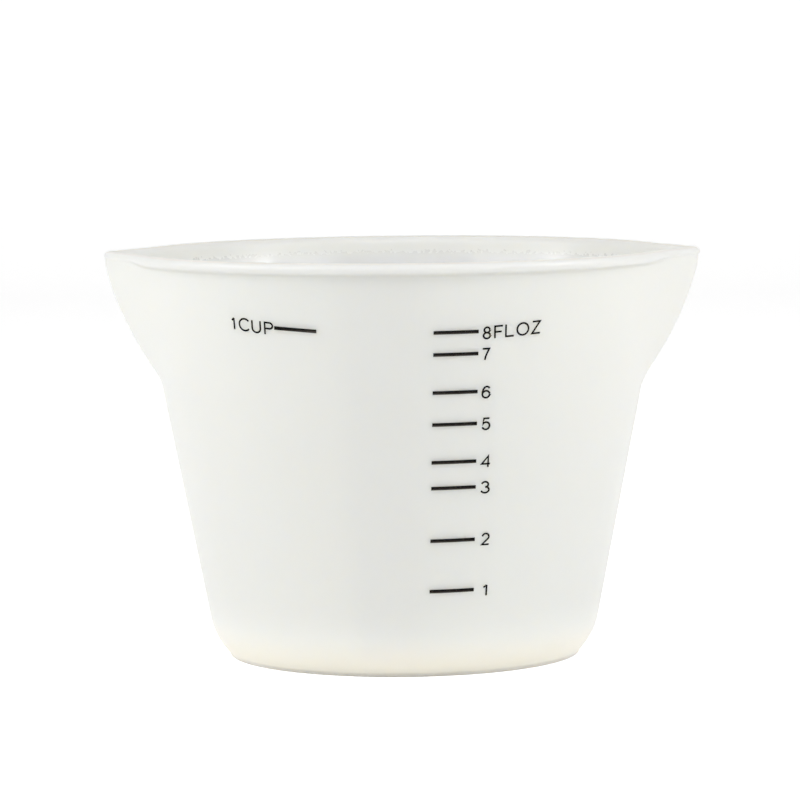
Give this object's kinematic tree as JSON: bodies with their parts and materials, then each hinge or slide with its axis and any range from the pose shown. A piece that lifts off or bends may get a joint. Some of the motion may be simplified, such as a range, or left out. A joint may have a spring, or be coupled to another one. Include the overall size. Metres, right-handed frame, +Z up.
{
  "type": "mixing cup",
  "caption": "Soft translucent round mixing cup for resin, with a rolled rim, opposite pouring spouts and a printed measuring scale.",
  "frame": {"origin": "centre of the foot, on the surface that the cup stands on", "axes": "+X through one pouring spout, -Y towards the printed scale, +Z up"},
  "size_m": [0.1044, 0.096, 0.0708],
  "materials": {
    "silicone": "satin, milky and translucent",
    "ink": "matt black print"
  },
  "bodies": {
    "root": {"cup_body": "silicone", "ounce_bar_1": "ink", "ounce_bar_2": "ink", "ounce_bar_3": "ink", "ounce_bar_4": "ink", "ounce_bar_5": "ink", "ounce_bar_6": "ink", "ounce_bar_7": "ink", "ounce_bar_8": "ink", "cup_bar": "ink"}
  },
  "joints": []
}
